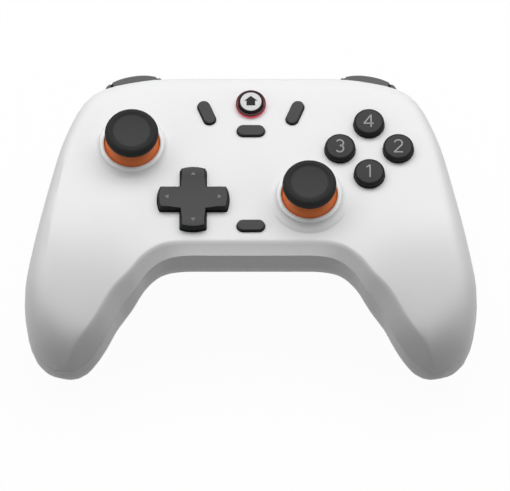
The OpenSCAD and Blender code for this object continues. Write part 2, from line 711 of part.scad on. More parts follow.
switch_h = 3.4;
stem_z = board_z + switch_h + 1.1;
home_flange_z = under_z - home_sleeve_h - 2 * flange_gap - 2 * flange_t;
module home_button() {
    color("#58585a") at_home() {
        translate([0, 0, face_z]) rotate_extrude() polygon([[0, home_flange_z - face_z],
            [home_r + light_w, home_flange_z - face_z],
            [home_r + light_w, home_flange_z + flange_t - face_z],
            [home_r, home_flange_z + flange_t - face_z], [home_r, home_rise - 0.8],
            [home_r - 0.2, home_rise - 0.3], [home_r - 0.6, home_rise], [0, home_rise]]);
        translate([0, 0, stem_z]) cylinder(h = home_flange_z - stem_z + 0.5, r = 1.7);
    }
}
module home_light_ring() {
    color("#a81c2c") at_home() translate([0, 0, face_z]) rotate_extrude() {
        translate([home_r + button_gap, -wall - home_sleeve_h - 0.9])
            square([light_w + button_gap - seat_gap, wall + home_sleeve_h + 0.9 + light_rise]);
        translate([home_r + button_gap, -wall - home_sleeve_h - 0.9])
            square([light_w + 1.4, 0.9 - seat_gap]);
    }
}
module home_led() {
    color("#f0e0d0") translate([home_r + 3, home_y, board_z + seat_gap])
        translate([-0.8, -0.5, 0]) cube([1.6, 1, 0.7]);
}
pill_rim = 0.6;
module small_button(sink = 0) {
    top_z = under_z - flange_gap - sink;
    color("#4c4c4e") {
        translate([0, 0, top_z - 0.5]) soft_bar(pill_l, pill_w, pill_w / 2 - 0.01,
            face_z + pill_rise - under_z + flange_gap + 0.5, 0.5);
        translate([0, 0, top_z - flange_t]) linear_extrude(flange_t)
            pill_shape(pill_l + 2 * pill_rim, pill_w + 2 * pill_rim);
        translate([0, 0, stem_z]) cylinder(h = top_z - stem_z - 0.5, r = 1.6);
    }
}
module left_menu_button() { at_left_menu() small_button(); }
module right_menu_button() { at_right_menu() small_button(); }
module middle_button() { at_middle() small_button(); }
// The mode button sits where the face begins to fall
mode_sink = face_z - face_height([0, mode_y - pill_w / 2 - pill_rim]) + 0.15;
module mode_button() { at_mode() small_button(mode_sink); }
module tact_switch() {
    translate([-3, -3, 0]) cube([6, 6, switch_h - 0.4]);
    cylinder(h = switch_h, r = 1.7);
}
module button_switches() {
    color("black") translate([0, 0, board_z + seat_gap]) {
        at_small_buttons() tact_switch();
        at_home() tact_switch();
    }
}

// The bumper follows the back edge between two points of the seam
bumper_from = 1.55;
bumper_to = 2.7;
bumper_in = 8.2;
function bumper_edge(k, out) = let (p = seam(k) - out * seam_normal(k)) [p[0], p[1]];
function bumper_plan(trim) = concat(
    [for (n = [0:16]) let (k = mix(bumper_from, bumper_to, n / 16))
        bumper_edge(k, 0.4 + (bumper_proud - trim) * pow(sin(180 * n / 16), 0.5))],
    [bumper_edge(bumper_to, -bumper_in), bumper_edge(bumper_from, -bumper_in)]);
module bumper_slot() {
    translate([0, 0, bumper_top - bumper_h - shoulder_gap]) linear_extrude(bumper_h + 2 * shoulder_gap)
        polygon(concat(
            [for (n = [0:8]) bumper_edge(mix(bumper_from - 0.05, bumper_to + 0.06, n / 8), 6)],
            [bumper_edge(bumper_to + 0.06, -bumper_in), bumper_edge(bumper_from - 0.05, -bumper_in)]));
}
// Heights up the bumper, each with what its rounded edge takes off
bumper_levels = [[0, 0.9], [0.5, 0.25], [1.2, 0], [bumper_h - 1.6, 0], [bumper_h - 0.6, 0.35],
    [bumper_h - 0.01, 1.2]];
bumper_lug_z = board_z + 1.4;
bumper_lug_h = 4;
bumper_arm = bumper_edge(bumper_from, -bumper_in)[0] + 3.5 - bumper_pin_x;
groove_d = 4;
// Half the width of the groove across either end of the bumper, in stations of the seam
groove_half = 0.025;
module bumper() {
    color("#6c6c6e") difference() {
        union() {
            hull() for (e = bumper_levels) translate([0, 0, bumper_top - bumper_h + e[0]])
                linear_extrude(0.01) polygon(bumper_plan(e[1]));
            translate([bumper_pin_x, bumper_pin_y, bumper_lug_z]) cylinder(h = bumper_lug_h, r = pin_r + 2);
            translate([bumper_pin_x, bumper_pin_y - 1.5, bumper_lug_z]) cube([bumper_arm, 3, bumper_lug_h]);
        }
        translate([bumper_pin_x, bumper_pin_y, 0]) cylinder(h = face_z, r = pin_r + 0.5 + run_gap);
        for (k = [bumper_from + 0.12, bumper_to - 0.16])
            translate([0, 0, bumper_top - groove_d]) linear_extrude(2 * groove_d)
                polygon([bumper_edge(k - groove_half, 6), bumper_edge(k + groove_half, 6),
                    bumper_edge(k + groove_half, 0.6), bumper_edge(k - groove_half, 0.6)]);
    }
}
module right_bumper() { bumper(); }
module left_bumper() { mirror([1, 0, 0]) bumper(); }
bumper_switch_x = 38;
module bumper_switches() {
    color("black") both_sides() translate([bumper_switch_x, board_back, board_z + seat_gap]) {
        translate([-3, -2.6, 0]) cube([6, 3.6, 3.4]);
        translate([0, 0, 1.7]) along_y(2.6, 1);
    }
}

// Side view of the trigger about its hinge
trigger_side = [[-2.6, 2], [0, 3.6], [7, 3.3], [13.2, 2.4], [15.6, -2.8], [14.9, -9], [15.2, -14],
    [17.2, -18.2], [17.2, -20.9], [14.4, -21.4], [10.6, -18], [6.4, -12], [2, -6], [-1.8, -2.8]];
function loop_point(p, k) =
    let (n = len(p), i = floor(k) % n, f = k - floor(k),
        a = p[(i + n - 1) % n], b = p[i], c = p[(i + 1) % n], d = p[(i + 2) % n])
    b + 0.5 * f * ((c - a) + f * ((2 * a - 5 * b + 4 * c - d) + f * (3 * b - a - 3 * c + d)));
function loop_inset(p, k, inset) =
    let (t = loop_point(p, k + 0.05) - loop_point(p, k + len(p) - 0.05))
    loop_point(p, k) + inset * [t[1], -t[0]] / norm(t);
function trigger_ring(x, inset) = [for (n = [0:3 * len(trigger_side) - 1])
    let (q = loop_inset(trigger_side, n / 3, inset)) [x, q[0], q[1]]];
coil_room = 3.6;
module trigger() {
    w = trigger_w / 2;
    color("#6c6c6e") difference() {
        loft([for (e = [[-w, 1], [-w + 0.3, 0.35], [-w + 1, 0],
            [w - 1, 0], [w - 0.3, 0.35], [w, 1]]) trigger_ring(e[0], e[1])], [[-w, 0, 0], [w, 0, 0]]);
        difference() {
            translate([-w + trigger_wall, 0, 0]) rotate([90, 0, 90])
                linear_extrude(trigger_w - 2 * trigger_wall)
                    polygon([[2, 3.05 - trigger_wall], [7, 3 - trigger_wall],
                        [12.8 - trigger_wall / 2, 2 - trigger_wall], [15.5 - trigger_wall, -3],
                        [14.8 - trigger_wall, -9], [15 - trigger_wall, -14],
                        [16 - trigger_wall, -17.2], [9, -24], [-6, -8], [2, -3.4]]);
            for (x = [-1, 1]) translate([x * (w + coil_room) / 2, 0, 0])
                along_x(w - coil_room, pin_r + 2.1);
        }
        along_x(2 * coil_room, coil_r + wire_r + 0.6);
        along_x(2 * trigger_w, pin_r + run_gap);
    }
}
module right_trigger() { at_trigger() trigger(); }
module left_trigger() { mirror([1, 0, 0]) right_trigger(); }
module trigger_pins() {
    color("silver") both_sides() at_trigger() along_x(2 * (ear_x + ears_t) - 0.4, pin_r);
}

// A torsion coil round the pin with a leg at either end
coil_r = pin_r + 1;
coil_turns = 4;
coil_pitch = 1.4;
leg_l = 1.2;
function coil_ring(a, slide) = [for (n = [0:5]) let (e = [cos(60 * n), sin(60 * n)] * wire_r)
    [coil_pitch * (a / 360 - coil_turns / 2) + e[1], (coil_r + e[0]) * cos(a) - slide * sin(a),
        (coil_r + e[0]) * sin(a) + slide * cos(a)]];
module trigger_spring() {
    color("silver") loft(concat([coil_ring(0, -leg_l)],
        [for (n = [0:14 * coil_turns]) coil_ring(n * 360 / 14, 0)],
        [coil_ring(360 * coil_turns, leg_l)]));
}
module right_trigger_spring() { at_trigger() trigger_spring(); }
module left_trigger_spring() { mirror([1, 0, 0]) right_trigger_spring(); }

board_back = 37;
board_front = -14.3;
board_half = half_w - 22;
module middle_strip(half, from, to) { translate([-half, from]) square([2 * half, to - from]); }
module main_board() {
    color("#1f5a3c") translate([0, 0, board_z - board_t]) linear_extrude(board_t) difference() {
        union() {
            middle_strip(board_half - 6.5, board_front, board_back - 6);
            middle_strip(board_half, 4, board_back - 7);
            middle_strip(board_half - 9.5, board_back - 8, board_back);
            middle_strip(20, board_back - 1, usb_mouth_y - 3);
            for (x = [-1, 1]) translate([x * board_spots[0][0], board_spots[0][1]]) circle(4.4);
        }
        for (x = [-1, 1], p = board_spots) translate([x * p[0], p[1]]) circle(post_r - 1 + 0.15);
    }
}
module board_chips() {
    color("#18181a") {
        translate([-4, 8, board_z + seat_gap]) cube([8, 8, 1]);
        translate([-12, 16, board_z + seat_gap]) cube([5, 4, 1]);
        translate([5, -10, board_z + seat_gap]) cube([5, 6, 1.2]);
        translate([-8, 2, board_z - board_t - seat_gap - 1.4]) cube([10, 7, 1.4]);
    }
}
module usb_port() {
    color("silver") translate([0, usb_mouth_y - usb_l, usb_z]) rotate([-90, 0, 0]) {
        difference() {
            linear_extrude(usb_l) pill_shape(usb_w, usb_h);
            translate([0, 0, 1]) linear_extrude(usb_l) pill_shape(usb_w - 0.6, usb_h - 0.6);
        }
        translate([-3.35, -0.35, 0.5]) cube([6.7, 0.7, usb_l - 1.3]);
    }
}
battery_y = 17;
module battery() {
    color("#c9c9c4") translate([0, battery_y, belly_z + wall + seat_gap])
        translate([-battery_l / 2, -battery_w / 2, 0]) cube([battery_l, battery_w, battery_t]);
}

motor_shaft_r = 1;
weight_t = 6;
module motor() {
    color("#b4b6b8") translate([motor_x, motor_y, motor_z]) difference() {
        union() {
            along_y(motor_l, motor_r);
            translate([0, motor_l - 0.1, 0]) along_y(1, 2.5);
        }
        translate([0, -1, 0]) along_y(7, motor_shaft_r + run_gap);
    }
}
module right_motor() { motor(); }
module left_motor() { mirror([1, 0, 0]) motor(); }
module motor_weight() {
    color("#8c8d90") translate([motor_x, motor_y, motor_z]) {
        translate([0, -8, 0]) along_y(12, motor_shaft_r);
        translate([0, -1.5 - weight_t, 0]) {
            along_y(weight_t, 2.4);
            intersection() {
                along_y(weight_t, weight_r);
                translate([-weight_r, -1, -2 * weight_r]) cube([2 * weight_r, weight_t + 2, 2 * weight_r]);
            }
        }
    }
}
module right_motor_weight() { motor_weight(); }
module left_motor_weight() { mirror([1, 0, 0]) motor_weight(); }

front_shell();
rear_shell();
shell_screws();
left_stick_ring();
right_stick_ring();
left_stick_cap();
right_stick_cap();
left_stick_dome();
right_stick_dome();
left_stick_shaft();
right_stick_shaft();
left_stick_gimbal();
right_stick_gimbal();
left_stick_module();
right_stick_module();
dpad();
dpad_ball();
dpad_post();
dpad_pad();
button_south();
button_east();
button_west();
button_north();
button_pad();
home_button();
home_light_ring();
home_led();
left_menu_button();
right_menu_button();
middle_button();
mode_button();
button_switches();
left_bumper();
right_bumper();
bumper_switches();
left_trigger();
right_trigger();
trigger_pins();
left_trigger_spring();
right_trigger_spring();
main_board();
board_chips();
usb_port();
battery();
left_motor();
right_motor();
left_motor_weight();
right_motor_weight();
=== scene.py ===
"""Looks of a two-handed gamepad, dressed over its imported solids."""

import math

import bmesh
import bpy
from mathutils import Matrix, Vector


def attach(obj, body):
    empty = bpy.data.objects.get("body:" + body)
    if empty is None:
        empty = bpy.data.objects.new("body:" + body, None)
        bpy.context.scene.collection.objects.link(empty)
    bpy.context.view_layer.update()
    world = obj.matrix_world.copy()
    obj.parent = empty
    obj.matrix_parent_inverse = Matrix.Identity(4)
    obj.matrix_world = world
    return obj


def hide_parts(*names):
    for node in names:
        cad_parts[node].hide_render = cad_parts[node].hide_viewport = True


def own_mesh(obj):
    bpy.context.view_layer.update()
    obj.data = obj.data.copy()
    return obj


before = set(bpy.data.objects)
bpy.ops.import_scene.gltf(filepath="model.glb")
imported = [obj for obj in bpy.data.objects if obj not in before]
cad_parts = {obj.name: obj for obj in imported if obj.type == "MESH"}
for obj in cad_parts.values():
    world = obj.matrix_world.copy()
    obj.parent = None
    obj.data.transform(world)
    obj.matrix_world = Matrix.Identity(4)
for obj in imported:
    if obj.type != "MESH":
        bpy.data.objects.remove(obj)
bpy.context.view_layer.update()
bpy.context.scene.view_settings.view_transform = "Standard"


# Rear shell: the moulded back half of the housing, with the undersides of the grips, the
# screw towers and the corners that the triggers fill. White ABS with a fine spark-eroded
# grain, screwed to the front shell from below.
MM = 0.001
WELD = 0.002
CREASE = math.radians(28)
CLOUD_SCALE = 45.0
GRAIN_STRENGTH = 0.6
SHEEN_SPREAD = 0.05
SHELL_WHITE = (0.80, 0.80, 0.805)
SHELL_SHADE = (0.775, 0.775, 0.782)


def moulded(name, light, dark, gloss, grain_mm, depth_mm, specular=0.5):
    """A moulded plastic or rubber: two close tones in soft clouds, over a fine grain that
    breaks the gloss and stands up by a few hundredths of a millimetre."""
    finish = bpy.data.materials.new(name)
    finish.use_nodes = True
    nodes = finish.node_tree.nodes
    link = finish.node_tree.links.new
    shader = nodes["Principled BSDF"]
    shader.inputs["Specular IOR Level"].default_value = specular
    place = nodes.new("ShaderNodeTexCoord")
    clouds = nodes.new("ShaderNodeTexNoise")
    clouds.inputs["Scale"].default_value = CLOUD_SCALE
    clouds.inputs["Detail"].default_value = 3.0
    tone = nodes.new("ShaderNodeMix")
    tone.data_type = "RGBA"
    tone.inputs["A"].default_value = (*dark, 1.0)
    tone.inputs["B"].default_value = (*light, 1.0)
    grain = nodes.new("ShaderNodeTexNoise")
    grain.inputs["Scale"].default_value = 1.0 / (grain_mm * MM)
    grain.inputs["Detail"].default_value = 2.0
    sheen = nodes.new("ShaderNodeMapRange")
    sheen.inputs["To Min"].default_value = gloss - SHEEN_SPREAD
    sheen.inputs["To Max"].default_value = gloss + SHEEN_SPREAD
    relief = nodes.new("ShaderNodeBump")
    relief.inputs["Strength"].default_value = GRAIN_STRENGTH
    relief.inputs["Distance"].default_value = depth_mm * MM
    link(place.outputs["Object"], clouds.inputs["Vector"])
    link(place.outputs["Object"], grain.inputs["Vector"])
    link(clouds.outputs["Fac"], tone.inputs["Factor"])
    link(tone.outputs["Result"], shader.inputs["Base Color"])
    link(grain.outputs["Fac"], sheen.inputs["Value"])
    link(sheen.outputs["Result"], shader.inputs["Roughness"])
    link(grain.outputs["Fac"], relief.inputs["Height"])
    link(relief.outputs["Normal"], shader.inputs["Normal"])
    return finish


def creased(bm, crease):
    """Shades a mesh smooth, but for its rims and the edges that turn more than the crease."""
    for face in bm.faces:
        face.smooth = True
    for edge in bm.edges:
        edge.smooth = len(edge.link_faces) == 2 and edge.calc_face_angle() < crease
    return bm


def soft_copy(node, crease=CREASE):
    """A copy of a solid's mesh with its loose triangles merged, smooth but at its creases."""
    bm = bmesh.new()
    bm.from_mesh(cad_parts[node].data)
    bmesh.ops.remove_doubles(bm, verts=bm.verts, dist=WELD * MM)
    return creased(bm, crease)


def fit(bm, name, finish, body, slot, *nodes):
    """Makes a piece of a finished bmesh, gives it its finish and seats it on its body."""
    mesh = bpy.data.meshes.new(name)
    bm.to_mesh(mesh)
    bm.free()
    mesh.materials.append(finish)
    piece = bpy.data.objects.new(name, mesh)
    bpy.context.scene.collection.objects.link(piece)
    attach(piece, body)
    if nodes:
        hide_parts(*nodes)
    return piece


def even_shading(piece):
    """Weighs a piece's normals by the size of its faces, so flats stay flat up to their rims."""
    weigh = piece.modifiers.new("even_shading", "WEIGHTED_NORMAL")
    weigh.keep_sharp = True
    return piece


shell_white = moulded("shell_white", SHELL_WHITE, SHELL_SHADE, 0.46, 0.22, 0.012)
rear_shell = fit(soft_copy("rear_shell"), "rear_shell_skin", shell_white, "housing",
                 "white_plastic", "rear_shell")
even_shading(rear_shell)


# Motors and weights: two vibration motors lie in cradles in the grips, each a drawn steel
# can with an off-centre weight pressed on its shaft. They shake the grips.
LINE_SCALE = 2500.0
LINE_SHADE = 0.85
LINE_SPREAD = 0.08


def metal(name, colour, gloss, stretch):
    """Bright metal with fine lines drawn along one way of the piece."""
    finish = bpy.data.materials.new(name)
    finish.use_nodes = True
    nodes = finish.node_tree.nodes
    link = finish.node_tree.links.new
    shader = nodes["Principled BSDF"]
    shader.inputs["Metallic"].default_value = 1.0
    place = nodes.new("ShaderNodeTexCoord")
    turn = nodes.new("ShaderNodeMapping")
    turn.inputs["Scale"].default_value = stretch
    lines = nodes.new("ShaderNodeTexNoise")
    lines.inputs["Scale"].default_value = LINE_SCALE
    lines.inputs["Detail"].default_value = 4.0
    tone = nodes.new("ShaderNodeMix")
    tone.data_type = "RGBA"
    tone.inputs["A"].default_value = (*[c * LINE_SHADE for c in colour], 1.0)
    tone.inputs["B"].default_value = (*colour, 1.0)
    sheen = nodes.new("ShaderNodeMapRange")
    sheen.inputs["To Min"].default_value = gloss - LINE_SPREAD
    sheen.inputs["To Max"].default_value = gloss + LINE_SPREAD
    link(place.outputs["Object"], turn.inputs["Vector"])
    link(turn.outputs["Vector"], lines.inputs["Vector"])
    link(lines.outputs["Fac"], tone.inputs["Factor"])
    link(tone.outputs["Result"], shader.inputs["Base Color"])
    link(lines.outputs["Fac"], sheen.inputs["Value"])
    link(sheen.outputs["Result"], shader.inputs["Roughness"])
    return finish


def dress(finish, *names):
    """Gives solids that stay as they are a better finish."""
    for name in names:
        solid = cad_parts[name]
        solid.data.materials.clear()
        solid.data.materials.append(finish)


drawn_steel = metal("drawn_steel", (0.62, 0.62, 0.64), 0.32, (1.0, 0.05, 1.0))
dress(drawn_steel, "left_motor", "right_motor", "left_motor_weight", "right_motor_weight")


# Battery: a flat lithium cell in a foil pouch, stuck to the floor of the rear shell under
# the board.
cell_foil = metal("cell_foil", (0.72, 0.72, 0.70), 0.42, (0.4, 0.4, 0.4))
dress(cell_foil, "battery")


# Main board: glass-fibre board in green solder mask, clamped between the screw towers and
# the posts of the front shell. It carries the chips, the lamp and the tact switches.
board_green = moulded("board_green", (0.03, 0.16, 0.08), (0.02, 0.11, 0.055), 0.35, 0.6, 0.01)
chip_black = moulded("chip_black", (0.02, 0.02, 0.022), (0.014, 0.014, 0.015), 0.55, 0.12, 0.006)
lamp_clear = moulded("lamp_clear", (0.8, 0.72, 0.62), (0.72, 0.65, 0.55), 0.2, 0.5, 0.004)
dress(board_green, "main_board")
dress(chip_black, "board_chips", "button_switches", "bumper_switches")
dress(lamp_clear, "home_led")


# Charging socket: a drawn steel shell round a black tongue with gold contacts, soldered to
# the back edge of the board behind the opening in the rear shell.
SOCKET_MOUTH_Y = 50.4
SOCKET_Z = 31.18
CONTACTS = 6
CONTACT_PITCH = 1.0
CONTACT_SIZE = (0.45, 4.4, 0.06)
CONTACT_BACK = 3.4
CONTACT_RISE = 0.36
gold = metal("contact_gold", (0.83, 0.62, 0.26), 0.25, (1.0, 0.1, 1.0))
even_shading(fit(soft_copy("usb_port"), "socket_shell", drawn_steel, "housing", "steel",
                 "usb_port"))
bm = bmesh.new()
for row in (-1, 1):
    for n in range(CONTACTS):
        bar = bmesh.ops.create_cube(bm, size=1.0)["verts"]
        bmesh.ops.scale(bm, vec=Vector(CONTACT_SIZE) * MM, verts=bar)
        across = (n - (CONTACTS - 1) / 2) * CONTACT_PITCH
        spot = (across, SOCKET_MOUTH_Y - CONTACT_BACK, SOCKET_Z + row * CONTACT_RISE)
        bmesh.ops.translate(bm, vec=Vector(spot) * MM, verts=bar)
fit(bm, "socket_contacts", gold, "housing", "steel")


# Stick modules: each stick stands in a glass-filled module on the board. Its shaft is pinned
# in a ring that turns in the module's walls, so it tips both ways.
module_green = moulded("module_green", (0.05, 0.12, 0.075), (0.04, 0.1, 0.06), 0.5, 0.2, 0.01)
nylon_grey = moulded("nylon_grey", (0.09, 0.09, 0.095), (0.075, 0.075, 0.08), 0.48, 0.15, 0.008)
dress(module_green, "left_stick_module", "right_stick_module")
dress(nylon_grey, "left_stick_gimbal", "right_stick_gimbal", "left_stick_shaft",
      "right_stick_shaft", "dpad_post")


# Triggers: hollow grey mouldings that swing on steel pins between the ears of the rear
# shell, each pushed out by a coil on its pin.
SHOULDER = (0.085, 0.085, 0.088)
SHOULDER_SHADE = (0.076, 0.076, 0.079)
shoulder_grey = moulded("shoulder_grey", SHOULDER, SHOULDER_SHADE, 0.46, 0.25, 0.012, 0.25)
spring_wire = metal("spring_wire", (0.66, 0.66, 0.66), 0.28, (0.6, 0.6, 0.6))
for side in ("left", "right"):
    even_shading(fit(soft_copy(f"{side}_trigger"), f"{side}_trigger_skin", shoulder_grey,
                     f"{side}_trigger", "grey_plastic", f"{side}_trigger"))
dress(spring_wire, "trigger_pins", "left_trigger_spring", "right_trigger_spring", "dpad_ball")


# Bumpers: grey bars that follow the back edge of the housing over the triggers. Each turns
# on a pin of the front shell and presses a switch on the board's edge. A black sheet inside
# either end, seen through the groove there, is painted shade for the deep gap.
LUG_END = 29.6
SHADE_SHEET_DEPTH = 0.35
# Near-black finish for the sheet inside each bumper end: painted shade for the gap behind the
# groove.
gap_shade_black = moulded("gap_shade_black", (0.008, 0.008, 0.008), (0.006, 0.006, 0.006), 0.7, 0.25, 0.012,
                     0.1)
for side in ("left", "right"):
    bm = soft_copy(f"{side}_bumper")
    spots = [vert.co.copy() for vert in bm.verts if abs(vert.co.x) > LUG_END * MM]
    even_shading(fit(bm, f"{side}_bumper_skin", shoulder_grey, f"{side}_bumper", "grey_plastic",
                     f"{side}_bumper"))
    # A black sheet just inside each end: painted shade where the groove shows the deep gap.
    bm = bmesh.new()
    for spot in spots:
        bm.verts.new(spot)
    bmesh.ops.convex_hull(bm, input=bm.verts)
    inner = [v for v in bm.verts if not v.link_faces]
    bmesh.ops.delete(bm, geom=inner, context="VERTS")
    bmesh.ops.recalc_face_normals(bm, faces=bm.faces)
    bm.normal_update()
    for vert in bm.verts:
        vert.co -= vert.normal * SHADE_SHEET_DEPTH * MM
    fit(bm, f"{side}_bumper_gap_shade", gap_shade_black, f"{side}_bumper", "grey_plastic")


# Contact pads: silicone sheets with a small dome under each button and each arm of the
# direction pad. They lie on the board, push the buttons back and give way under them.
DPAD_X = -19.7
DPAD_Y = -0.7
DPAD_REACH = 8.23
BUTTON_X = 40.6
BUTTON_Y = 19.2
BUTTON_PITCH = 10.0
BUTTONS = (("south", 270), ("east", 0), ("west", 180), ("north", 90))
SHEET_FOOT = 29.55
SHEET_TOP = 30.35
SHEET_EDGE = 0.1
BUTTON_SHEET_R = 14.0
DPAD_SHEET_R = 12.6
DPAD_SHEET_HOLE = 3.0
DOME_FOOT = 30.36
DOME_SHOULDER = 32.36
DOME_TOP = 33.55
DOME_FOOT_R = 3.8
DOME_SHOULDER_R = 2.6
DOME_TIP_R = 2.0
DOME_EDGE = 0.2
silicone = moulded("pad_silicone", (0.3, 0.3, 0.295), (0.26, 0.26, 0.255), 0.6, 0.3, 0.01)


def turned(profile, steps=96, ring=False):
    """Spins a side view of (radius, height, corner rounding) in millimetres round the Z axis.
    A ring's side view closes on itself; another runs from the axis back to the axis."""
    bm = bmesh.new()
    verts = [bm.verts.new((r * MM, 0.0, z * MM)) for r, z, _ in profile]
    for pair in zip(verts, verts[1:] + verts[:1] if ring else verts[1:]):
        bm.edges.new(pair)
    groups = {}
    for vert, (_, _, rounding) in zip(verts, profile):
        if rounding:
            groups.setdefault(rounding, []).append(vert)
    for rounding, corners in groups.items():
        bmesh.ops.bevel(bm, geom=corners, offset=rounding * MM, affect="VERTICES", segments=5,
                        profile=0.5, material=-1, clamp_overlap=False)
    bmesh.ops.spin(bm, geom=bm.verts[:] + bm.edges[:], cent=(0, 0, 0), axis=(0, 0, 1),
                   angle=math.tau, steps=steps, use_merge=True)
    bmesh.ops.remove_doubles(bm, verts=bm.verts, dist=WELD * MM)
    bmesh.ops.recalc_face_normals(bm, faces=bm.faces)
    return creased(bm, CREASE)


def around(x, y, reach, angle):
    """A place at a distance and an angle from a middle."""
    turn = math.radians(angle)
    return Vector((x + reach * math.cos(turn), y + reach * math.sin(turn), 0.0)) * MM


def rubber_dome(name, spot):
    """One dome of a pad."""
    bm = turned([(0.0, DOME_FOOT, 0.0), (DOME_FOOT_R, DOME_FOOT, 0.0),
                 (DOME_SHOULDER_R, DOME_SHOULDER, DOME_EDGE), (DOME_TIP_R, DOME_SHOULDER, 0.0),
                 (DOME_TIP_R, DOME_TOP, DOME_EDGE), (0.0, DOME_TOP, 0.0)], 48)
    bmesh.ops.translate(bm, vec=spot, verts=bm.verts)
    dome = fit(bm, name, silicone, "housing", "silicone")
    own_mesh(dome)


bm = turned([(0.0, SHEET_FOOT, 0.0), (BUTTON_SHEET_R, SHEET_FOOT, SHEET_EDGE),
             (BUTTON_SHEET_R, SHEET_TOP, SHEET_EDGE), (0.0, SHEET_TOP, 0.0)])
bmesh.ops.translate(bm, vec=Vector((BUTTON_X, BUTTON_Y, 0.0)) * MM, verts=bm.verts)
fit(bm, "button_pad_sheet", silicone, "housing", "silicone", "button_pad")
for name, angle in BUTTONS:
    rubber_dome(f"button_{name}_dome", around(BUTTON_X, BUTTON_Y, BUTTON_PITCH, angle))
bm = turned([(DPAD_SHEET_HOLE, SHEET_FOOT, 0.0), (DPAD_SHEET_R, SHEET_FOOT, SHEET_EDGE),
             (DPAD_SHEET_R, SHEET_TOP, SHEET_EDGE), (DPAD_SHEET_HOLE, SHEET_TOP, 0.0)], ring=True)
bmesh.ops.translate(bm, vec=Vector((DPAD_X, DPAD_Y, 0.0)) * MM, verts=bm.verts)
fit(bm, "dpad_pad_sheet", silicone, "housing", "silicone", "dpad_pad")
for name, angle, joint in (("right", 0, "dpad_tilt_y"), ("up", 90, "dpad_tilt_x"),
                           ("left", 180, "dpad_tilt_y"), ("down", 270, "dpad_tilt_x")):
    rubber_dome(f"dpad_{name}_dome", around(DPAD_X, DPAD_Y, DPAD_REACH, angle))


# Direction pad: one dark ABS cross with a shallow dish, rocking on a ball. A small raised
# triangle near the end of each arm points outwards.
DPAD_TOP = 46.5
DPAD_DISH = 60.0
DISH_DEPTH = 0.8
ARROW_OUT = 8.9
ARROW_R = 1.0
ARROW_H = 0.3
ARROW_SINK = 0.2
BLACK = (0.012, 0.012, 0.0125)
BLACK_SHADE = (0.01, 0.01, 0.0105)
BLACK_PAINTED_LIGHT = (0.043, 0.043, 0.044)
DPAD_PAINTED_LIGHT = (0.064, 0.064, 0.065)


def lighten_where_marked(finish, colour):
    """Lightens a finish by the mesh's own lighter share: painted light on the up-facing tops of
    the keys, and the lighter dish of the stick caps.
    """
    nodes = finish.node_tree.nodes
    link = finish.node_tree.links.new
    base = nodes["Principled BSDF"].inputs["Base Color"]
    share = nodes.new("ShaderNodeAttribute")
    share.attribute_name = "lighter_share"
    blend = nodes.new("ShaderNodeMix")
    blend.data_type = "RGBA"
    blend.inputs["B"].default_value = (*colour, 1.0)
    link(share.outputs["Fac"], blend.inputs["Factor"])
    link(base.links[0].from_socket, blend.inputs["A"])
    link(blend.outputs["Result"], base)


def painted_lit_tops(bm, edge=0.75, top=0.95):
    """Marks how far each face of a key looks up, so that its top is painted lighter, as lit, and
    its edges and sides stay dark, as in shade. Both limits are how far a face looks up."""
    lighter_share = bm.faces.layers.float.new("lighter_share")
    bm.normal_update()
    for face in bm.faces:
        face[lighter_share] = max(0.0, min(1.0, (face.normal.z - edge) / (top - edge)))
    return bm


def raised(bm, outline, height):
    """Raises flat faces by a height in millimetres and gives the corners of their tops."""
    slab = bmesh.ops.extrude_face_region(bm, geom=outline)
    corners = [part for part in slab["geom"] if isinstance(part, bmesh.types.BMVert)]
    bmesh.ops.translate(bm, vec=(0.0, 0.0, height * MM), verts=corners)
    return corners


# The tops of the face buttons and the D-pad are painted lighter where they face up, as lit; their
# edges and sides stay dark, as in shade.
button_black = moulded("button_black", BLACK, BLACK_SHADE, 0.5, 0.2, 0.01, 0.12)
lighten_where_marked(button_black, BLACK_PAINTED_LIGHT)
dpad_black = moulded("dpad_black", BLACK, BLACK_SHADE, 0.5, 0.2, 0.01, 0.12)
lighten_where_marked(dpad_black, DPAD_PAINTED_LIGHT)
mark_grey = moulded("mark_grey", (0.105, 0.105, 0.105), (0.095, 0.095, 0.095), 0.5, 0.2, 0.006)
even_shading(fit(painted_lit_tops(soft_copy("dpad")), "dpad_cross", dpad_black, "dpad", "dark_plastic",
                 "dpad"))
bm = bmesh.new()
for quarter in range(4):
    arrow = bmesh.ops.create_circle(bm, cap_ends=True, segments=3, radius=ARROW_R * MM)["verts"]
    arrow += raised(bm, list({face for vert in arrow for face in vert.link_faces}), ARROW_H)
    bmesh.ops.translate(bm, vec=(0.0, ARROW_OUT * MM, 0.0), verts=arrow)
    turn = Matrix.Rotation(quarter * math.pi / 2, 3, "Z")
    bmesh.ops.rotate(bm, cent=(0, 0, 0), matrix=turn, verts=arrow)
dip = DPAD_DISH - math.sqrt(DPAD_DISH ** 2 - ARROW_OUT ** 2)
arrow_z = DPAD_TOP - DISH_DEPTH + dip - ARROW_SINK
bmesh.ops.translate(bm, vec=Vector((DPAD_X, DPAD_Y, arrow_z)) * MM, verts=bm.verts)
bmesh.ops.recalc_face_normals(bm, faces=bm.faces)
fit(bm, "dpad_arrows", mark_grey, "dpad", "dark_plastic")


# Face buttons: four round black ABS buttons with soft shoulders and slightly domed tops, each
# with a plain printed number. A flange under the face keeps each in its hole.
BUTTON_R = 5.25
BUTTON_TOP = 46.6
BUTTON_CROWN = 0.25
CROWN_R = 3.85
BUTTON_FOOT = 39.6
FLANGE_OUT = 0.9
FLANGE_H = 1.2
FLANGE_EDGE = 0.15
STEM_R = 3.0
RIM_SLOPE = 0.981
CROWN_SLOPE = 0.99
STEM_FOOT = 33.7
STROKE = 0.5
PRINT_LIFT = 0.04
print_grey = moulded("print_grey", (0.36, 0.36, 0.365), (0.32, 0.32, 0.325), 0.55, 0.2, 0.004, 0.3)


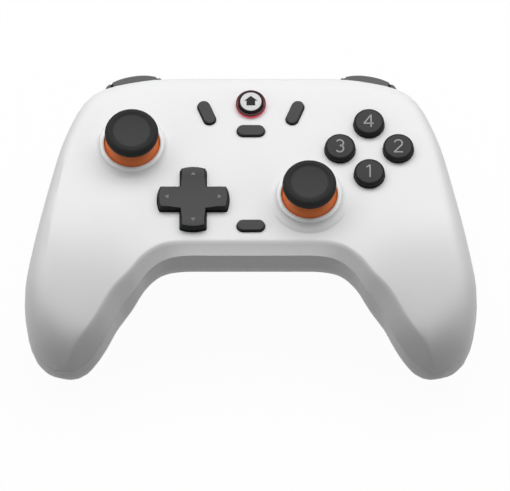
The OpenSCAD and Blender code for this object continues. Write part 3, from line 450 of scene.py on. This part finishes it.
def crown(r):
    """Height of a face button's domed top at a distance from its axis."""
    return BUTTON_TOP + BUTTON_CROWN * (1.0 - (r / CROWN_R) ** 2)


def arc(x, y, r, start, end):
    """Points on a circle from one angle to another, in degrees."""
    turns = [math.radians(start + (end - start) * n / 16) for n in range(17)]
    return [(x + r * math.cos(a), y + r * math.sin(a)) for a in turns]


def evened(points, pitch=0.25):
    """The same line with a point at least every quarter of a millimetre."""
    line = [Vector(points[0])]
    for tip in map(Vector, points[1:]):
        start = line[-1]
        steps = max(1, math.ceil((tip - start).length / pitch))
        line += [start.lerp(tip, n / steps) for n in range(1, steps + 1)]
    return line


def printed(strokes, width, height):
    """Printed lines of one width, pressed flat on a top whose height depends on the distance
    from its axis."""
    pen = bpy.data.curves.new("pen", "CURVE")
    pen.dimensions = "3D"
    pen.bevel_depth = width / 2 * MM
    pen.bevel_resolution = 3
    pen.use_fill_caps = True
    for points in map(evened, strokes):
        line = pen.splines.new("POLY")
        line.points.add(len(points) - 1)
        for spot, point in zip(points, line.points):
            point.co = (spot.x * MM, spot.y * MM, 0.0, 1.0)
    holder = bpy.data.objects.new("pen", pen)
    bpy.context.scene.collection.objects.link(holder)
    tube = bpy.data.meshes.new_from_object(holder)
    bpy.data.objects.remove(holder)
    bm = bmesh.new()
    bm.from_mesh(tube)
    for vert in bm.verts:
        share = max(-1.0, min(1.0, vert.co.z / (width / 4 * MM)))
        vert.co.z = (height(vert.co.xy.length / MM) + PRINT_LIFT * share) * MM
    for face in bm.faces:
        face.smooth = True
    return bm


NUMBERS = {1: [[(-1.0, 1.5), (0.2, 2.4), (0.2, -2.4)]],
           2: [arc(0.0, 1.05, 1.35, 165, -38) + [(-1.45, -2.4), (1.5, -2.4)]],
           3: [arc(-0.1, 1.15, 1.25, 150, -90), arc(-0.1, -1.1, 1.3, 90, -150)],
           4: [[(0.7, -2.4), (0.7, 2.4), (-1.7, -1.0), (1.6, -1.0)]]}
button_side = [(0.0, STEM_FOOT, 0.0), (STEM_R, STEM_FOOT, 0.2), (STEM_R, BUTTON_FOOT, 0.0),
               (BUTTON_R + FLANGE_OUT, BUTTON_FOOT, FLANGE_EDGE),
               (BUTTON_R + FLANGE_OUT, BUTTON_FOOT + FLANGE_H, FLANGE_EDGE),
               (BUTTON_R, BUTTON_FOOT + FLANGE_H, 0.0), (BUTTON_R, BUTTON_TOP - 0.2, 0.75),
               (4.2, BUTTON_TOP, 0.5)]
button_side += [(r, crown(r), 0.0) for r in (3.1, 2.4, 1.6, 0.8, 0.0)]
for number, (name, angle) in enumerate(BUTTONS, 1):
    spot = around(BUTTON_X, BUTTON_Y, BUTTON_PITCH, angle)
    bm = painted_lit_tops(turned(button_side), RIM_SLOPE, CROWN_SLOPE)
    bmesh.ops.translate(bm, vec=spot, verts=bm.verts)
    fit(bm, f"button_{name}_key", button_black, f"button_{name}", "dark_plastic", f"button_{name}")
    bm = printed(NUMBERS[number], STROKE, crown)
    bmesh.ops.translate(bm, vec=spot, verts=bm.verts)
    fit(bm, f"button_{name}_number", print_grey, f"button_{name}", "dark_plastic")


# Home button: a dark round button with a pale disc let into its top and a plain house on it,
# inside a ring of red lens that a lamp on the board lights.
HOME_Y = 37.2
HOME_R = 4.4
HOME_TOP = 46.4
HOME_FOOT = 37.6
HOME_STEM = 34.0
HOME_STEM_R = 1.7
HOME_FLANGE = 0.4
DISC_R = 3.65
DISC_GAP = 0.06
SEAT_Z = HOME_TOP - 0.25
DISC_FOOT = HOME_TOP - 0.24
DISC_TOP = HOME_TOP - 0.02
HOUSE = ((-1.5, -1.6), (1.5, -1.6), (1.5, 0.3), (2.3, 0.3), (0.0, 2.25), (-2.3, 0.3), (-1.5, 0.3))
HOUSE_FOOT = HOME_TOP - 0.1
HOUSE_H = 0.11
FACE_Z = 44.0
LENS_IN = 4.6
LENS_OUT = 5.15
LENS_FLANGE = 6.4
LENS_FLANGE_H = 0.85
LENS_FOOT = 39.5
LENS_TOP = 45.6
GLOW_RED = (1.0, 0.08, 0.13)
GLOW = 0.55
GLOW_EDGE = 0.3
# Painted light for the up-facing tops of the small pills.
PILL_PAINTED_LIGHT = (0.06, 0.06, 0.061)
pill_grey = moulded("pill_grey", (0.014, 0.014, 0.0145), (0.012, 0.012, 0.0125), 0.5, 0.2, 0.01,
                    0.12)
lighten_where_marked(pill_grey, PILL_PAINTED_LIGHT)
disc_pale = moulded("disc_pale", (0.62, 0.62, 0.62), (0.57, 0.57, 0.57), 0.4, 0.3, 0.004)
home_spot = Vector((0.0, HOME_Y, 0.0)) * MM
bm = turned([(0.0, HOME_STEM, 0.0), (HOME_STEM_R, HOME_STEM, 0.15), (HOME_STEM_R, HOME_FOOT, 0.0),
             (HOME_R + HOME_FLANGE, HOME_FOOT, 0.1),
             (HOME_R + HOME_FLANGE, HOME_FOOT + FLANGE_H, 0.1),
             (HOME_R, HOME_FOOT + FLANGE_H, 0.0), (HOME_R, HOME_TOP - 0.7, 0.2),
             (HOME_R - 0.55, HOME_TOP, 0.15), (DISC_R + DISC_GAP, HOME_TOP, 0.03),
             (DISC_R + DISC_GAP, SEAT_Z, 0.0), (0.0, SEAT_Z, 0.0)])
bmesh.ops.translate(bm, vec=home_spot, verts=bm.verts)
fit(bm, "home_key", pill_grey, "home_button", "grey_plastic", "home_button")
bm = turned([(0.0, DISC_FOOT, 0.0), (DISC_R, DISC_FOOT, 0.0), (DISC_R, DISC_TOP, 0.08),
             (0.0, DISC_TOP, 0.0)])
bmesh.ops.translate(bm, vec=home_spot, verts=bm.verts)
fit(bm, "home_disc", disc_pale, "home_button", "grey_plastic")
bm = bmesh.new()
outline = [bm.verts.new((x * MM, y * MM, HOUSE_FOOT * MM)) for x, y in HOUSE]
raised(bm, [bm.faces.new(outline)], HOUSE_H)
bmesh.ops.translate(bm, vec=home_spot, verts=bm.verts)
bmesh.ops.recalc_face_normals(bm, faces=bm.faces)
fit(bm, "home_sign", pill_grey, "home_button", "grey_plastic")


def lit_from_below(finish, colour, strength, low, high):
    """Light inside a lens, brightest at one height in millimetres and gone at another."""
    nodes = finish.node_tree.nodes
    link = finish.node_tree.links.new
    shader = nodes["Principled BSDF"]
    shader.inputs["Emission Color"].default_value = (*colour, 1.0)
    place = nodes.new("ShaderNodeTexCoord")
    split = nodes.new("ShaderNodeSeparateXYZ")
    fade = nodes.new("ShaderNodeMapRange")
    fade.inputs["From Min"].default_value = low * MM
    fade.inputs["From Max"].default_value = high * MM
    fade.inputs["To Min"].default_value = strength
    fade.inputs["To Max"].default_value = 0.0
    link(place.outputs["Object"], split.inputs["Vector"])
    link(split.outputs["Z"], fade.inputs["Value"])
    link(fade.outputs["Result"], shader.inputs["Emission Strength"])


lens_red = moulded("lens_red", (0.06, 0.01, 0.012), (0.05, 0.008, 0.01), 0.3, 0.4, 0.004, 0.3)
lit_from_below(lens_red, GLOW_RED, GLOW, FACE_Z + GLOW_EDGE, LENS_TOP - GLOW_EDGE)
bm = turned([(LENS_IN, LENS_FOOT, 0.0), (LENS_FLANGE, LENS_FOOT, 0.1),
             (LENS_FLANGE, LENS_FOOT + LENS_FLANGE_H, 0.1),
             (LENS_OUT, LENS_FOOT + LENS_FLANGE_H, 0.0),
             (LENS_OUT, LENS_TOP, 0.3), (LENS_IN, LENS_TOP, 0.1)], ring=True)
bmesh.ops.translate(bm, vec=home_spot, verts=bm.verts)
fit(bm, "home_lens", lens_red, "housing", "red_lens", "home_light_ring")


# Small buttons: four dark ABS pills with soft top edges, two of them leaning outwards. Each
# presses a switch on the board.
# Each pill's up-facing top is painted lighter, as lit; its sides stay dark, as in shade.
for name in ("left_menu_button", "right_menu_button", "middle_button", "mode_button"):
    even_shading(fit(painted_lit_tops(soft_copy(name)), f"{name}_key", pill_grey, name, "grey_plastic",
                     name))


# Front shell: the control face, in the same white plastic as the rear shell, with raised
# collars round the sticks and a chamfer along its front edge. Each collar is drawn in to the
# ring it holds and runs out into the face without an edge.
STICKS = {"left": (-40.8, 20.8), "right": (20.0, 0.4)}
COLLAR_IN = 11.3
COLLAR_FROM = 11.5
COLLAR_TO = 14.0
COLLAR_DRAW = 0.5
COLLAR_WELD = 0.03
SLIVER = 0.001
FOOT_STEP = 0.05
bm = soft_copy("front_shell")
for x, y in STICKS.values():
    middle = Vector((x, y)) * MM
    for vert in bm.verts:
        out = vert.co.xy - middle
        r = out.length / MM
        if COLLAR_FROM < r < COLLAR_TO and vert.co.z > (FACE_Z - FOOT_STEP) * MM:
            vert.co.xy = middle + out * (max(COLLAR_IN, r - COLLAR_DRAW) / r)
            if vert.co.z < (FACE_Z + FOOT_STEP) * MM:
                vert.co.z = FACE_Z * MM
bmesh.ops.remove_doubles(bm, verts=bm.verts, dist=COLLAR_WELD * MM)
bmesh.ops.dissolve_degenerate(bm, edges=bm.edges, dist=SLIVER * MM)
front_shell = fit(creased(bm, CREASE), "front_shell_skin", shell_white, "housing", "white_plastic",
                  "front_shell")
even_shading(front_shell)


# Sticks: a hard white glide ring let into each collar, an orange moulded dome that closes
# the opening, and a black rubber cap with a dished top, pressed on the dome's neck.
RING_R = 11.2
RING_FOOT = 44.05
RING_TOP = 46.3
RING_STEPS = 128
CAP_R = 9.2
CAP_FOOT = 50.8
CAP_TOP = 54.8
DISH_IN = 5.8
DISH_OUT = 6.8
DISH_TONE = (0.036, 0.036, 0.037)
dome_orange = moulded("dome_orange", (0.85, 0.215, 0.055), (0.79, 0.195, 0.05), 0.42, 0.25, 0.008,
                      0.3)
cap_rubber = moulded("cap_rubber", (0.011, 0.011, 0.0115), (0.009, 0.009, 0.0095), 0.66, 0.18,
                     0.014, 0.2)
ring_white = moulded("ring_white", (0.9, 0.9, 0.9), (0.87, 0.87, 0.875), 0.3, 0.3, 0.004)
ring_side = [(RING_R - 0.3, RING_FOOT, 0.0), (RING_R, RING_FOOT, 0.0), (RING_R, RING_TOP, 0.6),
             (RING_R - 1.75, RING_TOP, 0.6), (RING_R - 1.35, RING_TOP - 0.95, 0.1)]
cap_side = [(0.0, CAP_FOOT, 0.0), (CAP_R - 0.6, CAP_FOOT, 0.3), (CAP_R, CAP_FOOT + 0.8, 0.6),
            (CAP_R, CAP_TOP - 1.2, 0.8), (CAP_R - 1.3, CAP_TOP, 0.8),
            (CAP_R - 2.9, CAP_TOP - 0.55, 0.8), (3.5, CAP_TOP - 1.05, 1.5),
            (0.0, CAP_TOP - 1.2, 0.0)]
lighten_where_marked(cap_rubber, DISH_TONE)
for side, (x, y) in STICKS.items():
    spot = Vector((x, y, 0.0)) * MM
    bm = turned(ring_side, RING_STEPS, True)
    bmesh.ops.translate(bm, vec=spot, verts=bm.verts)
    fit(bm, f"{side}_glide_ring", ring_white, "housing", "white_plastic", f"{side}_stick_ring")
    even_shading(fit(soft_copy(f"{side}_stick_dome"), f"{side}_dome", dome_orange, f"{side}_stick",
                     "orange_plastic", f"{side}_stick_dome"))
    bm = turned(cap_side, RING_STEPS)
    # The dish is lighter than the rubber rim round it, blending over the band from DISH_IN to
    # DISH_OUT.
    lighter_share = bm.verts.layers.float.new("lighter_share")
    for vert in bm.verts:
        inward = (DISH_OUT - vert.co.xy.length / MM) / (DISH_OUT - DISH_IN)
        share = max(0.0, min(1.0, inward))
        vert[lighter_share] = share * share * (3.0 - 2.0 * share)
    bmesh.ops.translate(bm, vec=spot, verts=bm.verts)
    fit(bm, f"{side}_thumb_cap", cap_rubber, f"{side}_stick", "black_rubber", f"{side}_stick_cap")


# Screws: six steel self-tappers sunk in recesses of the rear shell and driven up into the front
# shell, so that they hold the housing and the board together.
screw_steel = metal("screw_steel", (0.5, 0.5, 0.51), 0.3, (0.7, 0.7, 0.7))
even_shading(fit(soft_copy("shell_screws"), "screws", screw_steel, "housing", "steel",
                 "shell_screws"))


# Studio: a pale floor, a broad soft lamp above and behind, a weak one at either side and an even
# sky. The camera looks down from the player's side through a long lens. Each lamp has its turn
# and tilt in degrees, its distance, width and depth in metres, and its watts.
FLOOR_HALF = 6.0
FLOOR_PALE = (0.9, 0.9, 0.9, 1.0)
FLOOR_BOUNCE = (0.06, 0.06, 0.06, 1.0)
SHADOW_SHARE = 0.04
LAMPS = [("main_lamp", 0, 32, 0.7, 1.3, 0.4, 5.5), ("left_lamp", 100, 66, 0.7, 0.5, 0.5, 0.6),
         ("right_lamp", -100, 66, 0.7, 0.5, 0.5, 0.6)]
SKY = 0.24
LENS = 500.0
SENSOR = 36.0
VIEW_WIDTH = 173.8
AIM = Vector((1.43, -17.87, 42.6)) * MM
ELEVATION = math.radians(60)


def seen_by_eye(tree):
    """One for the rays that show the backdrop: straight, mirrored and through glass."""
    path = tree.nodes.new("ShaderNodeLightPath")
    total = path.outputs["Is Camera Ray"]
    for kind in ("Is Glossy Ray", "Is Transmission Ray"):
        add = tree.nodes.new("ShaderNodeMath")
        add.operation = "MAXIMUM"
        tree.links.new(total, add.inputs[0])
        tree.links.new(path.outputs[kind], add.inputs[1])
        total = add.outputs[0]
    return total


bm = bmesh.new()
bmesh.ops.create_grid(bm, x_segments=1, y_segments=1, size=FLOOR_HALF)
mesh = bpy.data.meshes.new("floor")
bm.to_mesh(mesh)
bm.free()
floor = bpy.data.objects.new("floor", mesh)
bpy.context.scene.collection.objects.link(floor)
pale = bpy.data.materials.new("floor_pale")
pale.use_nodes = True
tree = pale.node_tree
tree.nodes.remove(tree.nodes["Principled BSDF"])
glow = tree.nodes.new("ShaderNodeEmission")
shade = tree.nodes.new("ShaderNodeBsdfDiffuse")
shade.inputs["Color"].default_value = FLOOR_PALE
dim = tree.nodes.new("ShaderNodeBsdfDiffuse")
dim.inputs["Color"].default_value = FLOOR_BOUNCE
backdrop = tree.nodes.new("ShaderNodeMixShader")
backdrop.inputs["Fac"].default_value = SHADOW_SHARE
choice = tree.nodes.new("ShaderNodeMixShader")
tree.links.new(glow.outputs[0], backdrop.inputs[1])
tree.links.new(shade.outputs[0], backdrop.inputs[2])
tree.links.new(seen_by_eye(tree), choice.inputs[0])
tree.links.new(dim.outputs[0], choice.inputs[1])
tree.links.new(backdrop.outputs[0], choice.inputs[2])
tree.links.new(choice.outputs[0], tree.nodes["Material Output"].inputs["Surface"])
mesh.materials.append(pale)

world = bpy.data.worlds.new("studio")
bpy.context.scene.world = world
world.use_nodes = True
sky = world.node_tree.nodes["Background"]
level = world.node_tree.nodes.new("ShaderNodeMapRange")
level.inputs["To Min"].default_value = SKY
level.inputs["To Max"].default_value = 1.0
world.node_tree.links.new(seen_by_eye(world.node_tree), level.inputs["Value"])
world.node_tree.links.new(level.outputs["Result"], sky.inputs["Strength"])
sky.inputs["Color"].default_value = (1.0, 1.0, 1.0, 1.0)

for name, turn, tilt, away, width, depth, power in LAMPS:
    lamp = bpy.data.lights.new(name, "AREA")
    lamp.shape = "RECTANGLE"
    lamp.size = width
    lamp.size_y = depth
    lamp.energy = power
    stand = bpy.data.objects.new(name, lamp)
    reach = Vector((0.0, math.sin(math.radians(tilt)), math.cos(math.radians(tilt))))
    reach.rotate(Matrix.Rotation(math.radians(turn), 3, "Z"))
    stand.location = reach * away
    stand.rotation_euler = reach.to_track_quat("Z", "Y").to_euler()
    bpy.context.scene.collection.objects.link(stand)

camera = bpy.data.cameras.new("camera")
camera.lens = LENS
camera.sensor_width = SENSOR
camera.clip_end = 50.0
eye = bpy.data.objects.new("camera", camera)
back = Vector((0.0, -math.cos(ELEVATION), math.sin(ELEVATION)))
eye.location = AIM + back * (LENS / SENSOR * VIEW_WIDTH * MM)
eye.rotation_euler = back.to_track_quat("Z", "Y").to_euler()
bpy.context.scene.collection.objects.link(eye)
bpy.context.scene.camera = eye
